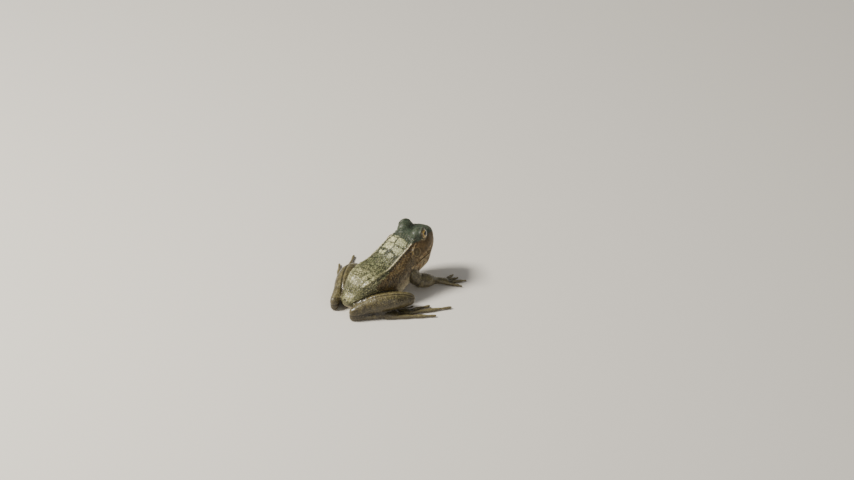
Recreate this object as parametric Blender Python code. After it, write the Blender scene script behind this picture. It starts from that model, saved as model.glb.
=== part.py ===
"""A pond frog sitting at rest, life size, parted into the pieces that a person would name.

Run it with: blender --background --python part.py

Metres, +Z up. The frog faces -Y, its right side is at -X, and it sits on the plane z = 0.
Places on the body are written (ahead, out, up): ahead of the vent, out from the midline and up
from the ground, in units of an 80th of the body's length, which are millimetres on this frog.
"""

import math

import bmesh
import bpy
import numpy as np
from mathutils import Matrix, Vector

BODY_LENGTH = 0.080  # from snout to vent
UNIT = BODY_LENGTH / 80
GAP = 0.0003  # between neighbouring pieces
LEFT, RIGHT = 1, -1  # the sign of X on each side

# The body's outline: ahead, belly, back, height of the widest line, half width, fullness.
BODY_SECTIONS = (
    (0.0, 5.0, 11.6, 8.6, 4.6, 2.0),
    (4.0, 0.8, 16.8, 8.8, 8.0, 2.0),
    (9.0, -0.9, 20.8, 9.4, 10.2, 2.1),
    (15.0, -1.2, 22.8, 10.2, 11.8, 2.2),
    (21.0, -1.2, 23.6, 10.6, 13.2, 2.3),
    (28.0, -0.8, 25.6, 11.6, 14.6, 2.4),
    (35.0, 0.6, 29.0, 13.4, 14.7, 2.4),
    (41.0, 3.0, 32.2, 16.2, 13.6, 2.4),
    (46.0, 5.6, 34.6, 19.0, 12.8, 2.4),
    (50.5, 8.0, 35.8, 21.4, 13.2, 2.3),
    (56.0, 11.4, 36.4, 23.6, 12.9, 2.2),
    (61.0, 15.2, 36.2, 25.4, 11.3, 2.2),
    (65.0, 19.0, 35.2, 27.2, 9.0, 2.2),
    (68.0, 23.0, 34.2, 28.8, 6.2, 2.1),
    (69.4, 25.6, 33.4, 29.6, 4.2, 2.1),
)
TAIL_END, SNOUT_END = -2.2, 70.8
NECK = 45.5  # where the head begins
BODY_SIDES, BODY_RINGS = 26, 34

JAW_HINGE, JAW_TIP = (46.0, 0, 20.6), (70.6, 0, 27.8)  # the mouth's line

EYE_CENTRE, EYE_RADIUS = (56.4, 6.8, 35.8), 3.9
EYE_BULGE_CENTRE, EYE_BULGE = (55.4, 5.6, 35.0), (6.2, 4.3, 4.9)
EARDRUM_CENTRE, EARDRUM, EARDRUM_LEAN = (48.4, 11.2, 28.4), (2.8, 1.0, 2.8), 26

# A limb's centre line, and its sections: share of its length, half width, half height.
HIP, THIGH_BEND, KNEE = (8.0, 5.0, 9.6), (20.0, 13.0, 6.4), (29.6, 23.8, 7.4)
THIGH_SECTIONS = ((0, 6.6, 7.2), (0.35, 7.0, 6.8), (0.7, 6.0, 5.6), (1, 4.4, 4.6))
SHANK_BOW, HEEL = ((23.0, 21.8, 9.4), (13.2, 16.6, 9.2), (6.0, 12.2, 7.8)), (-2.4, 8.6, 5.6)
SHANK_SECTIONS = ((0, 4.4, 5.0), (0.25, 5.4, 5.5), (0.5, 5.4, 5.5), (0.8, 3.8, 4.4), (1, 3.0, 3.6))
LEG_PARTING = 4.2  # height of the cut between the folded leg and the foot under it

ANKLE = (13.0, 19.6, 2.6)
ANKLE_SECTIONS = ((0, 3.1, 3.4), (0.3, 2.7, 3.0), (0.75, 2.9, 2.6), (1, 3.3, 2.3))
FOOT_SPREAD = {LEFT: 33, RIGHT: 28}  # degrees outward from straight ahead
# Each toe from the inner to the outer: angle to the foot's line, root's offset, length, radius.
TOES = ((-22, -2.8, 14.5, 1.25), (-13, -1.6, 21.0, 1.3), (-6, -0.4, 30.0, 1.35),
        (1, 0.9, 42.0, 1.4), (11, 2.1, 31.0, 1.35))
WEB_REACH = (0.80, 0.80, 0.74, 0.66)  # share of the shorter toe's length that each web joins
WEB_HALF_THICKNESS, WEB_HEIGHT, WEB_HOLLOW = 0.42, 1.0, 0.16
TOE_ROOT_HEIGHT, SOLE_LENGTH = 1.6, 8.0
SOLE_SECTIONS = ((0, 3.3, 2.3), (1, 4.0, 1.6))
# Along a finger or toe, as shares of its length and radius: the heights of its bones, and its swellings.
DIGIT_LIFTS = ((0, 1.0), (0.35, 0.98), (0.7, 0.86), (1, 0.72))
DIGIT_SWELLINGS = ((0, 1.1), (0.25, 0.92), (0.42, 1.02), (0.55, 0.8), (0.72, 0.9), (0.85, 0.66), (1, 0.7))

SHOULDER, ELBOW, WRIST = (41.0, 9.0, 17.0), (48.6, 13.0, 8.2), (62.6, 15.4, 3.2)
UPPER_ARM_SECTIONS = ((0, 4.4, 5.2), (0.5, 3.9, 4.4), (1, 3.3, 3.5))
FOREARM_SECTIONS = ((0, 3.3, 3.5), (0.35, 3.6, 3.6), (0.8, 2.4, 2.4), (1, 2.1, 2.1))
HAND_SPREAD = 28
PALM_LENGTH, FINGER_ROOT_HEIGHT = 5.5, 1.2
PALM_SECTIONS = ((0, 2.1, 2.1), (1, 3.1, 1.7))
# Each finger from the inner to the outer: angle to the hand's line, root's offset, length, radius.
FINGERS = ((-38, -1.9, 8.4, 1.15), (-14, -0.8, 8.8, 1.1), (4, 0.6, 12.4, 1.15), (32, 1.9, 9.6, 1.1))

# How finely each form is fused, and how many triangles it keeps.
FINENESS = {"body": (0.6, 2100), "leg": (0.6, 640), "foot": (0.36, 860),
            "arm": (0.5, 360), "hand": (0.36, 560)}

SKIN_TONE = {"back": (0.20, 0.21, 0.12), "flank": (0.17, 0.14, 0.09), "belly": (0.55, 0.52, 0.42),
             "eye": (0.35, 0.25, 0.05), "eardrum": (0.18, 0.12, 0.07)}
ROUGHNESS = {"eye": 0.1}


def place(point, side=RIGHT):
    """A point of the body plan in metres."""
    ahead, out, up = point
    return Vector((side * out, -ahead, up)) * UNIT


def smooth_through(keys, where):
    """Values at the places `where` of a smooth curve through keys, whose first column is the place."""
    keys = np.array(keys, float)
    at, values = keys[:, 0], keys[:, 1:]
    slopes = np.gradient(values, at, axis=0)
    where = np.clip(where, at[0], at[-1])
    i = np.clip(np.searchsorted(at, where, side="right") - 1, 0, len(at) - 2)
    step = (at[i + 1] - at[i])[:, None]
    t = ((where - at[i]))[:, None] / step
    return (
        (2 * t**3 - 3 * t**2 + 1) * values[i]
        + (t**3 - 2 * t**2 + t) * step * slopes[i]
        + (3 * t**2 - 2 * t**3) * values[i + 1]
        + (t**3 - t**2) * step * slopes[i + 1]
    )


def round_end_steps(count):
    """Shares from 0 to 1 that crowd towards both ends, for rings that close on round ends."""
    return [(1 - math.cos(math.pi * i / (count - 1))) / 2 for i in range(count)]


def oval(centre, across, upward, half_width, rise, drop, fullness, sides):
    """A closed ring of points. Fullness 2 is an ellipse, and a higher one is boxier."""
    ring = []
    for i in range(sides):
        turn = 2 * math.pi * i / sides
        x, z = math.cos(turn), math.sin(turn)
        x = math.copysign(abs(x) ** (2 / fullness), x)
        z = math.copysign(abs(z) ** (2 / fullness), z)
        ring.append(centre + across * (half_width * x) + upward * ((rise if z > 0 else drop) * z))
    return ring


def add_object(name, mesh):
    obj = bpy.data.objects.new(name, mesh)
    bpy.context.scene.collection.objects.link(obj)
    return obj


def loft(rings, tips):
    """A closed mesh object through rings of points, with a tip beyond the first and the last."""
    bm = bmesh.new()
    loops = [[bm.verts.new(p) for p in ring] for ring in rings]
    for a, b in zip(loops, loops[1:]):
        for i in range(len(a)):
            j = (i + 1) % len(a)
            bm.faces.new((a[i], a[j], b[j], b[i]))
    for loop, tip in ((loops[0], tips[0]), (loops[-1], tips[1])):
        point = bm.verts.new(tip)
        for i in range(len(loop)):
            bm.faces.new((loop[i], loop[(i + 1) % len(loop)], point))
    bmesh.ops.recalc_face_normals(bm, faces=bm.faces)
    mesh = bpy.data.meshes.new("form")
    bm.to_mesh(mesh)
    bm.free()
    return add_object("form", mesh)


def body_form(grown=0.0):
    """The trunk and head in one, every half size larger by grown."""
    shares = round_end_steps(BODY_RINGS)[1:-1]
    start, end = TAIL_END, SNOUT_END
    places = np.array([start + (end - start) * s for s in shares])
    rows = smooth_through(BODY_SECTIONS, places)
    rings = []
    first, last = BODY_SECTIONS[0][0], BODY_SECTIONS[-1][0]
    for ahead, (belly, back, widest, half, fullness) in zip(places, rows):
        closing = 1.0
        if ahead < first:
            closing = math.sqrt(1 - ((first - ahead) / (first - start)) ** 2)
        if ahead > last:
            closing = math.sqrt(1 - ((ahead - last) / (end - last)) ** 2)
        rings.append(oval(
            place((ahead, 0, widest)), Vector((1, 0, 0)), Vector((0, 0, 1)),
            half * closing * UNIT + grown, (back - widest) * closing * UNIT + grown,
            (widest - belly) * closing * UNIT + grown, fullness, BODY_SIDES,
        ))
    tips = place((start, 0, rows[0][2])), place((end, 0, rows[-1][2]))
    return loft(rings, (tips[0] + Vector((0, grown, 0)), tips[1] - Vector((0, grown, 0))))


def tube(points, sections, side, sides=16, rings=14, fullness=2.0):
    """A limb or digit: a round-ended tube through points of the body plan."""
    path = np.array([place(p, side) for p in points])
    spans = np.linalg.norm(np.diff(path, axis=0), axis=1)
    length = spans.sum()
    shares = np.concatenate([[0], np.cumsum(spans)]) / length
    keys = np.column_stack([shares, path])
    first_round, last_round = sections[0][2] * UNIT, sections[-1][2] * UNIT
    steps = np.array(round_end_steps(rings)[1:-1])
    along = -first_round + steps * (length + first_round + last_round)
    centres, sizes = smooth_through(keys, along / length), smooth_through(sections, along / length)
    start = (path[1] - path[0]) / spans[0]
    finish = (path[-1] - path[-2]) / spans[-1]
    loops = []
    for i, distance in enumerate(along):
        centre, (half_width, half_height) = Vector(centres[i]), sizes[i] * UNIT
        closing = 1.0
        if distance < 0:
            centre += Vector(start) * distance
            closing = math.sqrt(max(0, 1 - (distance / first_round) ** 2))
        if distance > length:
            centre += Vector(finish) * (distance - length)
            closing = math.sqrt(max(0, 1 - ((distance - length) / last_round) ** 2))
        lower, upper = max(0, i - 1), min(len(along) - 1, i + 1)
        heading = Vector(centres[upper] - centres[lower])
        if heading.length < 1e-7:
            heading = Vector(start if distance < 0 else finish)
        across = heading.cross(Vector((0, 0, 1))).normalized()
        upward = across.cross(heading).normalized()
        loops.append(oval(centre, across, upward, half_width * closing, half_height * closing,
                          half_height * closing, fullness, sides))
    ends = path[0] - start * first_round, path[-1] + finish * last_round
    return loft(loops, [Vector(e) for e in ends])


def ball(centre, radii, side, grown=0.0, lean=0, segments=14, rings=9):
    """An ellipsoid with its half sizes (along the body, out, up), whose outer face leans to look up."""
    bm = bmesh.new()
    bmesh.ops.create_uvsphere(bm, u_segments=segments, v_segments=rings, radius=1)
    along, out, up = (r * UNIT + grown for r in radii)
    bmesh.ops.scale(bm, vec=(out, along, up), verts=bm.verts)
    bmesh.ops.transform(bm, matrix=Matrix.Rotation(-side * math.radians(lean), 4, "Y"), verts=bm.verts)
    bmesh.ops.translate(bm, vec=place(centre, side), verts=bm.verts)
    mesh = bpy.data.meshes.new("ball")
    bm.to_mesh(mesh)
    bm.free()
    return add_object("ball", mesh)


def evaluated(obj):
    """Replaces the object's mesh by what its modifiers make of it."""
    bpy.context.view_layer.update()
    graph = bpy.context.evaluated_depsgraph_get()
    mesh = bpy.data.meshes.new_from_object(obj.evaluated_get(graph))
    obj.modifiers.clear()
    obj.data = mesh
    return obj


def fused(pieces, kind):
    """One smooth skin round overlapping forms, as one object."""
    voxel, triangles = FINENESS[kind]
    bm = bmesh.new()
    for piece in pieces:
        bm.from_mesh(piece.data)
        bpy.data.objects.remove(piece)
    mesh = bpy.data.meshes.new("fused")
    bm.to_mesh(mesh)
    bm.free()
    obj = add_object("fused", mesh)
    remesh = obj.modifiers.new("skin", "REMESH")
    remesh.mode = "VOXEL"
    remesh.voxel_size = voxel * UNIT
    soften = obj.modifiers.new("soften", "SMOOTH")
    soften.factor = 0.5
    soften.iterations = 4
    evaluated(obj)
    obj.data.calc_loop_triangles()
    decimate = obj.modifiers.new("fewer", "DECIMATE")
    decimate.ratio = min(1.0, triangles / len(obj.data.loop_triangles))
    return evaluated(obj)


def carved(obj, cutters):
    """Cuts the object by each cutter in turn, and removes the cutters."""
    for cutter in cutters:
        cut = obj.modifiers.new("cut", "BOOLEAN")
        cut.operation = "DIFFERENCE"
        cut.solver = "EXACT"
        cut.object = cutter
        evaluated(obj)
        bpy.data.objects.remove(cutter)
    return obj


def sliced(obj, point, normal):
    """Cuts away all of the object that lies beyond a plane, and closes the cut."""
    bm = bmesh.new()
    bm.from_mesh(obj.data)
    everything = bm.verts[:] + bm.edges[:] + bm.faces[:]
    bmesh.ops.bisect_plane(bm, geom=everything, plane_co=point, plane_no=normal, dist=1e-7, clear_outer=True)
    rim = [edge for edge in bm.edges if edge.is_boundary]
    bmesh.ops.triangle_fill(bm, use_beauty=True, edges=rim, normal=normal)
    bmesh.ops.remove_doubles(bm, verts=bm.verts, dist=1e-6)
    bmesh.ops.recalc_face_normals(bm, faces=bm.faces)
    bm.to_mesh(obj.data)
    bm.free()
    return obj


def parted(obj, point, normal):
    """Parts an object by a thin cut through point: (the piece behind the plane, the piece beyond)."""
    normal = Vector(normal).normalized()
    other = obj.copy()
    other.data = obj.data.copy()
    bpy.context.scene.collection.objects.link(other)
    sliced(obj, point - normal * GAP / 2, normal)
    sliced(other, point + normal * GAP / 2, -normal)
    return obj, other


def on_floor(obj):
    """Cuts off what reaches below the ground, which leaves small flats at one level."""
    return sliced(obj, Vector((0, 0, 0)), Vector((0, 0, -1)))


def finished(name, obj, tone):
    """Names the piece and gives it its material."""
    obj.name = obj.data.name = name
    material = bpy.data.materials.get(tone) or bpy.data.materials.new(tone)
    material.use_nodes = True
    surface = material.node_tree.nodes["Principled BSDF"]
    surface.inputs["Base Color"].default_value = (*SKIN_TONE[tone], 1)
    surface.inputs["Roughness"].default_value = ROUGHNESS.get(tone, 0.45)
    surface.inputs["Metallic"].default_value = 0.0
    obj.data.materials.clear()
    obj.data.materials.append(material)
    obj.data.shade_smooth()
    obj.data.set_sharp_from_angle(angle=math.radians(40))
    return obj


def turned(point, degrees_out, distance, up):
    """The place that lies that far from point, at an angle outward from straight ahead."""
    angle = math.radians(degrees_out)
    return (point[0] + distance * math.cos(angle), point[1] + distance * math.sin(angle), up)


def digit(root, angle, length, radius, side):
    """A finger or toe: it lies on the ground, swells at its joints and ends in a blunt tip."""
    points = [turned(root, angle, length * share, radius * lift) for share, lift in DIGIT_LIFTS]
    sections = [(share, radius * size, radius * size) for share, size in DIGIT_SWELLINGS]
    return tube(points, sections, side, sides=8, rings=16)


def toe_root(offset, side):
    """Where a toe leaves the foot, offset outward across its line."""
    across = math.radians(FOOT_SPREAD[side])
    return (ANKLE[0] - offset * math.sin(across), ANKLE[1] + offset * math.cos(across), TOE_ROOT_HEIGHT)


def web(inner, outer, reach, side):
    """The skin between two toes: a thin plate with a hollow edge."""
    spread, shorter = FOOT_SPREAD[side], min(inner[2], outer[2])
    ends = [turned(toe_root(toe[1], side), spread + toe[0], shorter * reach, 0) for toe in (inner, outer)]
    between = [(a + b) / 2 for a, b in zip(*ends)]
    hollow = turned(between, spread, -WEB_HOLLOW * shorter, 0)
    rim = [toe_root(inner[1], side), ends[0], hollow, ends[1], toe_root(outer[1], side)]
    bm = bmesh.new()
    for height in (WEB_HEIGHT + WEB_HALF_THICKNESS, WEB_HEIGHT - WEB_HALF_THICKNESS):
        for ahead, out, _ in rim:
            bm.verts.new(place((ahead, out, height), side))
    top, bottom = bm.verts[: len(rim)], bm.verts[len(rim) :]
    for loop in (top, bottom):
        bm.faces.new(loop)
    for i in range(len(rim)):
        bm.faces.new((top[i - 1], top[i], bottom[i], bottom[i - 1]))
    bmesh.ops.triangulate(bm, faces=[f for f in bm.faces if len(f.verts) > 4])
    bmesh.ops.recalc_face_normals(bm, faces=bm.faces)
    mesh = bpy.data.meshes.new("web")
    bm.to_mesh(mesh)
    bm.free()
    return add_object("web", mesh)


def make_trunk_and_head():
    """The trunk, the head with its eye bulges and sockets, and the lower jaw."""
    body = fused([body_form()] + [ball(EYE_BULGE_CENTRE, EYE_BULGE, side) for side in (LEFT, RIGHT)],
                 "body")
    trunk, head = parted(body, place((NECK, 0, 0)), (0, -1, 0))
    finished("trunk", on_floor(trunk), "back")
    for side in (LEFT, RIGHT):
        carved(head, [ball(EYE_CENTRE, (EYE_RADIUS,) * 3, side, GAP),
                      ball(EARDRUM_CENTRE, EARDRUM, side, GAP, EARDRUM_LEAN, 14, 8)])
    along = place(JAW_TIP) - place(JAW_HINGE)
    jaw, head = parted(head, place(JAW_HINGE), along.cross(Vector((1, 0, 0))))
    finished("head", head, "back")
    finished("lower_jaw", jaw, "belly")


def make_eye_and_eardrum(side, word):
    finished(f"{word}_eye", ball(EYE_CENTRE, (EYE_RADIUS,) * 3, side), "eye")
    finished(f"{word}_eardrum", ball(EARDRUM_CENTRE, EARDRUM, side, 0, EARDRUM_LEAN, 14, 8), "eardrum")


def make_leg(side, word):
    """The thigh and shank, folded flat against each other above the foot."""
    leg = fused(
        [tube((HIP, THIGH_BEND, KNEE), THIGH_SECTIONS, side),
         tube((KNEE, *SHANK_BOW, HEEL), SHANK_SECTIONS, side)],
        "leg",
    )
    carved(leg, [body_form(GAP)])
    sliced(leg, place((0, 0, LEG_PARTING)) + Vector((0, 0, GAP / 2)), Vector((0, 0, -1)))
    knee = place(KNEE, side)
    to_hip = (place(HIP, side) - knee).normalized()
    to_heel = (place(HEEL, side) - knee).normalized()
    shank, thigh = parted(leg, knee, to_hip - to_heel)
    finished(f"{word}_thigh", thigh, "back")
    finished(f"{word}_shank", shank, "flank")


def make_foot(side, word):
    """The ankle, and the sole with its five webbed toes."""
    spread = FOOT_SPREAD[side]
    heel, sole_end = (*HEEL[:2], ANKLE[2]), turned(ANKLE, spread, SOLE_LENGTH, TOE_ROOT_HEIGHT)
    forms = [tube((heel, ANKLE), ANKLE_SECTIONS, side), tube((ANKLE, sole_end), SOLE_SECTIONS, side)]
    for angle, offset, length, radius in TOES:
        forms.append(digit(toe_root(offset, side), spread + angle, length, radius, side))
    for inner, outer, reach in zip(TOES, TOES[1:], WEB_REACH):
        forms.append(web(inner, outer, reach, side))
    foot = fused(forms, "foot")
    sliced(foot, place((0, 0, LEG_PARTING)) - Vector((0, 0, GAP / 2)), Vector((0, 0, 1)))
    on_floor(foot)
    ankle, foot = parted(foot, place(ANKLE, side), place(ANKLE, side) - place(heel, side))
    finished(f"{word}_ankle", ankle, "flank")
    finished(f"{word}_foot", foot, "flank")


def make_arm(side, word):
    """The upper arm, the forearm and the hand with its four fingers."""
    arm = fused(
        [tube((SHOULDER, ELBOW), UPPER_ARM_SECTIONS, side), tube((ELBOW, WRIST), FOREARM_SECTIONS, side)],
        "arm",
    )
    carved(arm, [body_form(GAP)])
    elbow, wrist = place(ELBOW, side), place(WRIST, side)
    to_shoulder = (place(SHOULDER, side) - elbow).normalized()
    to_wrist = (wrist - elbow).normalized()
    upper, arm = parted(arm, elbow, to_wrist - to_shoulder)
    forearm, stump = parted(arm, wrist, to_wrist)
    bpy.data.objects.remove(stump)
    finished(f"{word}_upper_arm", upper, "back")
    finished(f"{word}_forearm", on_floor(forearm), "flank")

    palm_end = turned(WRIST, HAND_SPREAD, PALM_LENGTH, TOE_ROOT_HEIGHT)
    forms = [tube((ELBOW, WRIST), FOREARM_SECTIONS, side), tube((WRIST, palm_end), PALM_SECTIONS, side)]
    across = math.radians(HAND_SPREAD)
    for angle, offset, length, radius in FINGERS:
        ahead, out = palm_end[0] - offset * math.sin(across), palm_end[1] + offset * math.cos(across)
        root = (ahead, out, FINGER_ROOT_HEIGHT)
        forms.append(digit(root, HAND_SPREAD + angle, length, radius, side))
    hand = on_floor(fused(forms, "hand"))
    stump, hand = parted(hand, wrist, to_wrist)
    bpy.data.objects.remove(stump)
    finished(f"{word}_hand", hand, "flank")


def centre_on_origin():
    """Moves the frog so that the origin is the middle of the base of its box."""
    bpy.context.view_layer.update()
    corners = np.array([v.co for obj in bpy.data.objects for v in obj.data.vertices])
    middle = (corners.min(0) + corners.max(0)) / 2
    for obj in bpy.data.objects:
        obj.location = (-middle[0], -middle[1], 0)


def main():
    for obj in list(bpy.data.objects):
        bpy.data.objects.remove(obj)
    make_trunk_and_head()
    for side, word in ((RIGHT, "right"), (LEFT, "left")):
        make_eye_and_eardrum(side, word)
        make_leg(side, word)
        make_foot(side, word)
        make_arm(side, word)
    centre_on_origin()


main()
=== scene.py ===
import itertools
import math

import bmesh
import bpy
import numpy as np
import openvdb
from mathutils import Matrix, Vector, noise
from mathutils.bvhtree import BVHTree
from mathutils.kdtree import KDTree


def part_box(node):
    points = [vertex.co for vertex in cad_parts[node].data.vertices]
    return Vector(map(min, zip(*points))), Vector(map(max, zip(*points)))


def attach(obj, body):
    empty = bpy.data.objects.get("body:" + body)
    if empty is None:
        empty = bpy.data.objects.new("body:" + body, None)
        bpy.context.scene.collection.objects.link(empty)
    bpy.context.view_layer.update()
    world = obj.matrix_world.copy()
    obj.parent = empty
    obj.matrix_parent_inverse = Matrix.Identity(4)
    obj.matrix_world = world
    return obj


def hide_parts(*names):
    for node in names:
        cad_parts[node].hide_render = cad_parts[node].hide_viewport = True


# The looks of a pond frog, life size: one wet skin over all its flesh, with eyes and eardrums of
# their own.
#
# Shapes are worked in millimetres. A place on the body is written (ahead, out, up): ahead of the
# vent, out from the midline towards the side meant, and up from the ground. A mask is a number from
# 0 to 1 at each point of the skin, and the skin's material reads it by its name.

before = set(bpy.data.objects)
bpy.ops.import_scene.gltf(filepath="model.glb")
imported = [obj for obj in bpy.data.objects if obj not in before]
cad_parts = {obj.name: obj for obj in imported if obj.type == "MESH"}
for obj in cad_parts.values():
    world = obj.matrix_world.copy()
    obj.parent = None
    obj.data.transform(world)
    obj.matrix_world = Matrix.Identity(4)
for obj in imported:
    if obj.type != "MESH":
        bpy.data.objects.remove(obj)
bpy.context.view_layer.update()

MM = 0.001
norm = np.linalg.norm
SIDES = {"left": 1, "right": -1}  # the sign of X on each side
EYES = [side + "_eye" for side in SIDES]
EARDRUMS = [side + "_eardrum" for side in SIDES]
FLESH = [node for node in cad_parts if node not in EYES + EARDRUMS]

MIDLINE = (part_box("left_eye")[0].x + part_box("right_eye")[1].x) / 2 / MM
TRUNK_END = 2.2  # the trunk reaches this far behind the vent
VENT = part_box("trunk")[1].y / MM - TRUNK_END
EYE_RADIUS = (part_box("left_eye")[1].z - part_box("left_eye")[0].z) / 2 / MM


# ---- small tools


def place(ahead, out, up, side=1):
    """A place of the body plan, in millimetres of the model's frame."""
    return np.array([MIDLINE + side * out, VENT - ahead, up])


def plan(points):
    """Ahead, out from the midline (left is positive) and up, for an array of points."""
    return VENT - points[:, 1], points[:, 0] - MIDLINE, points[:, 2]


def middle(node):
    low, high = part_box(node)
    return np.array((low + high) / 2) / MM


def ease(low, high, values):
    """Rises smoothly from 0 to 1 as the values go from low to high."""
    t = np.clip((values - low) / (high - low), 0, 1)
    return t * t * (3 - 2 * t)


def unit(vector):
    return vector / norm(vector)


def upright(direction):
    """The direction nearest to straight up that is square to another."""
    return unit(np.array([0, 0, 1]) - direction[2] * direction)


def read(items, name):
    """A vector of each item, as rows of an array."""
    flat = np.zeros(len(items) * 3, np.float32)
    items.foreach_get(name, flat)
    return flat.reshape(-1, 3).astype(float)


def points_of(mesh):
    return read(mesh.vertices, "co")


def set_points(mesh, points):
    mesh.vertices.foreach_set("co", points.astype(np.float32).ravel())
    mesh.update()


def shell(name, hub, rows, rear=None):
    """A closed mesh: rows of points that ring a hub, ended by a rear point or by a flat."""
    bm = bmesh.new()
    rings = [[bm.verts.new(point) for point in row] for row in rows]
    front = bm.verts.new(hub)
    back = bm.verts.new(rear) if rear else None
    for spoke in range(len(rings[0])):
        after = (spoke + 1) % len(rings[0])
        bm.faces.new((front, rings[0][spoke], rings[0][after]))
        for near, far in zip(rings, rings[1:]):
            bm.faces.new((near[spoke], far[spoke], far[after], near[after]))
        if back:
            bm.faces.new((back, rings[-1][after], rings[-1][spoke]))
    if not back:
        bm.faces.new(rings[-1][::-1])
    bmesh.ops.recalc_face_normals(bm, faces=bm.faces)
    mesh = bpy.data.meshes.new(name)
    bm.to_mesh(mesh)
    bm.free()
    return mesh


def add(name, data, at):
    thing = bpy.data.objects.new(name, data)
    thing.matrix_world = at
    bpy.context.scene.collection.objects.link(thing)
    return thing


def add_piece(mesh, material, nodes, at=Matrix()):
    """Puts a mesh, smooth and in its material, in the place of some CAD nodes."""
    mesh.shade_smooth()
    mesh.materials.append(material)
    piece = add(mesh.name, mesh, at)
    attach(piece, "root")
    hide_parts(*nodes)


# ---- one body from the CAD solids

VOXEL, ROUGH_VOXEL = 0.3, 0.33  # mesh sizes of the skin, and of the bodies it grows from

# How far creases are filled and corners rounded. Creases are filled widely on the trunk and little
# on the limbs.
CORE_FILL, GROIN_FILL, ELBOW_FILL, WRIST_FILL, SKIN_FILL = 1.5, 0.9, 1.2, 0.6, 0.35
LEG_FILL, LEG_ROUND, ANKLE_ROUND = 0.4, 2.7, 1.9
HEEL_FILL, HEEL_ROUND, SOLE_FILL = 2.0, 2.4, 0.8

# Places on the hind leg, ahead and out. Round each joint the skin is rounded off: its place, and
# how far round it.
HEEL, ANKLE, KNEE = (-2.4, 8.6), (13.0, 19.6), (29.6, 23.8)
JOINTS = (((*HEEL, 4.0), 6.0), ((*ANKLE, 2.6), 4.5), ((*KNEE, 6.0), 6.5))
SOFTENING_ROUNDS, SOFTENING = 90, 0.7
FAIRING_ROUNDS = 40
TAUBIN_IN, TAUBIN_OUT = 0.5, 0.53


def joined(*shapes):
    """Several sets of polygons in one, each of points, triangles and quads."""
    parts, count = [], 0
    for points, triangles, quads in shapes:
        parts.append((points, triangles + count, quads + count))
        count += len(points)
    return [np.concatenate(part) for part in zip(*parts)]


def cad_polygons(*nodes):
    shapes = []
    for node in nodes:
        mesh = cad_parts[node].data
        mesh.calc_loop_triangles()
        corners = np.zeros(len(mesh.loop_triangles) * 3, np.int32)
        mesh.loop_triangles.foreach_get("vertices", corners)
        shapes.append((points_of(mesh) / MM, corners.reshape(-1, 3), np.zeros((0, 4), int)))
    return joined(*shapes)


def there_and_back(polygons, reach, voxel=ROUGH_VOXEL):
    """A body whose surface has moved out by `reach` and then back in by as much."""
    for distance in (reach, -reach):
        points, triangles, quads = polygons
        grid = openvdb.FloatGrid.createLevelSetFromPolygons(
            points.astype(np.float32),
            triangles=triangles.astype(np.uint32),
            quads=quads.astype(np.uint32),
            transform=openvdb.createLinearTransform(voxelSize=voxel),
            halfWidth=abs(reach) / voxel + 3,
        )
        polygons = grid.convertToPolygons(isovalue=distance)
    return polygons


def fused(reach, *shapes):
    """Overlapping or almost touching bodies as one, with creases filled to a radius of `reach`."""
    return there_and_back(joined(*shapes), reach)


def rounded(reach, body):
    """A body with its sharp outer edges rounded to a radius of `reach`."""
    return there_and_back(body, -reach)


def flesh():
    """The frog's mesh: all its flesh as one body."""
    core = ["trunk", "head", "lower_jaw", "left_upper_arm", "right_upper_arm"] + EYES + EARDRUMS
    parts = [fused(CORE_FILL, cad_polygons(*core))]
    for side in SIDES:

        def limb(*words):
            return cad_polygons(*[side + "_" + word for word in words])

        leg = rounded(LEG_ROUND, fused(LEG_FILL, limb("thigh", "shank")))
        ankle = rounded(ANKLE_ROUND, limb("ankle"))
        parts += [
            fused(GROIN_FILL, cad_polygons("trunk"), leg),
            fused(SOLE_FILL, ankle, limb("foot")),
            rounded(HEEL_ROUND, fused(HEEL_FILL, ankle, limb("shank"))),
            fused(ELBOW_FILL, limb("upper_arm", "forearm")),
            fused(WRIST_FILL, limb("forearm", "hand")),
        ]
    points, triangles, quads = there_and_back(joined(*parts), SKIN_FILL, VOXEL)
    mesh = bpy.data.meshes.new("skin")
    # A level set's polygons wind the other way round from Blender's.
    mesh.from_pydata(points.tolist(), [], triangles[:, ::-1].tolist() + quads[:, ::-1].tolist())
    mesh.update()
    return mesh


class Ring:
    """Each point's neighbours along the mesh's edges."""

    def __init__(self, mesh):
        edges = np.zeros(len(mesh.edges) * 2, np.int32)
        mesh.edges.foreach_get("vertices", edges)
        edges = edges.reshape(-1, 2)
        both = np.concatenate([edges, edges[:, ::-1]])
        order = np.argsort(both[:, 0], kind="stable")
        self.others = both[order, 1]
        self.counts = np.bincount(both[:, 0], minlength=len(mesh.vertices))
        self.starts = np.concatenate([[0], np.cumsum(self.counts)[:-1]])

    def average(self, values):
        sums = np.add.reduceat(values[self.others], self.starts, axis=0)
        return (sums.T / self.counts).T

    def spread(self, values, rounds):
        for _ in range(rounds):
            values = (values + self.average(values)) / 2
        return values

    def faired(self, points):
        """Smooths away facets without shrinking (Taubin's method)."""
        for _ in range(FAIRING_ROUNDS):
            points = points + TAUBIN_IN * (self.average(points) - points)
            points = points - TAUBIN_OUT * (self.average(points) - points)
        return points


def softened(mesh):
    """Rounds the joints of the hind legs off, where the CAD solids end in flats and corners."""
    points, ring = points_of(mesh), Ring(mesh)
    mask = np.zeros(len(points))
    for side in SIDES.values():
        for centre, radius in JOINTS:
            distance = norm(points - place(*centre, side), axis=1)
            mask = np.maximum(mask, np.exp(-((distance / radius) ** 4)))
    raised = ease(0.1, 1.6, points[:, 2])  # what rests on the ground stays at its height
    share = SOFTENING * np.stack([mask, mask, mask * raised], axis=1)
    for _ in range(SOFTENING_ROUNDS):
        points = points + share * (ring.average(points) - points)
    set_points(mesh, points)


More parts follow.
